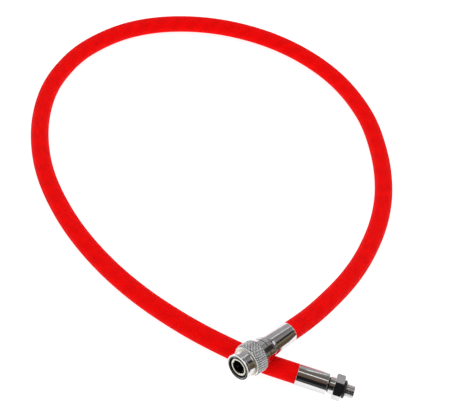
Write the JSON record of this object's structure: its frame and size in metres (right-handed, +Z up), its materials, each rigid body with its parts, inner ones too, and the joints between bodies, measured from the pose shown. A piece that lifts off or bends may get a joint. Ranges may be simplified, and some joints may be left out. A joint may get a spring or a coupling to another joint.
{
  "type": "low-pressure inflator hose",
  "caption": "Braided low-pressure hose for a diving jacket inflator, with a threaded port fitting and a sleeved quick-release coupling.",
  "frame": {"origin": "on the floor, under the middle of the two metal fittings", "axes": "+Z up from the floor the hose lies on; the quick-release coupling points nearly along -Y and rises 9.2 degrees; the loop of hose lies towards -X and +Y"},
  "size_m": [0.399, 0.3023, 0.039],
  "materials": {
    "red_braid": "fine woven braid, satin",
    "chrome_plate": "bright chrome plate on turned brass",
    "spring_steel": "drawn stainless wire and ground balls",
    "brass": "turned brass",
    "hose_rubber": "moulded inner tube",
    "seal_rubber": "smooth nitrile rubber"
  },
  "bodies": {
    "hose_assembly": {"hose": "red_braid", "supply_ferrule": "chrome_plate", "supply_hose_end": "hose_rubber", "supply_fitting": "chrome_plate", "supply_o_ring": "seal_rubber", "coupling_ferrule": "chrome_plate", "coupling_hose_end": "hose_rubber", "coupling_body": "chrome_plate", "sleeve_spring": "spring_steel", "retaining_ring": "spring_steel", "socket_o_ring": "seal_rubber", "valve_core": "brass", "valve_gasket": "seal_rubber", "valve_spring": "spring_steel", "lock_ball_1": "spring_steel", "lock_ball_2": "spring_steel", "lock_ball_3": "spring_steel", "lock_ball_4": "spring_steel", "lock_ball_5": "spring_steel", "lock_ball_6": "spring_steel"},
    "release_sleeve": {"coupling_sleeve": "chrome_plate"},
    "valve_plunger": {"valve_pin": "brass", "valve_seal": "seal_rubber"}
  },
  "joints": [
    {"name": "sleeve_slide", "type": "slide", "parent": "hose_assembly", "child": "release_sleeve", "axis": [-0.0448, 0.9861, -0.1599], "range_m": [0, 0.003], "stiffness_N_per_m": 500, "deforming": ["sleeve_spring"]},
    {"name": "valve_slide", "type": "slide", "parent": "hose_assembly", "child": "valve_plunger", "axis": [-0.0448, 0.9861, -0.1599], "range_m": [0, 0.0012], "stiffness_N_per_m": 300, "deforming": ["valve_spring"]}
  ]
}
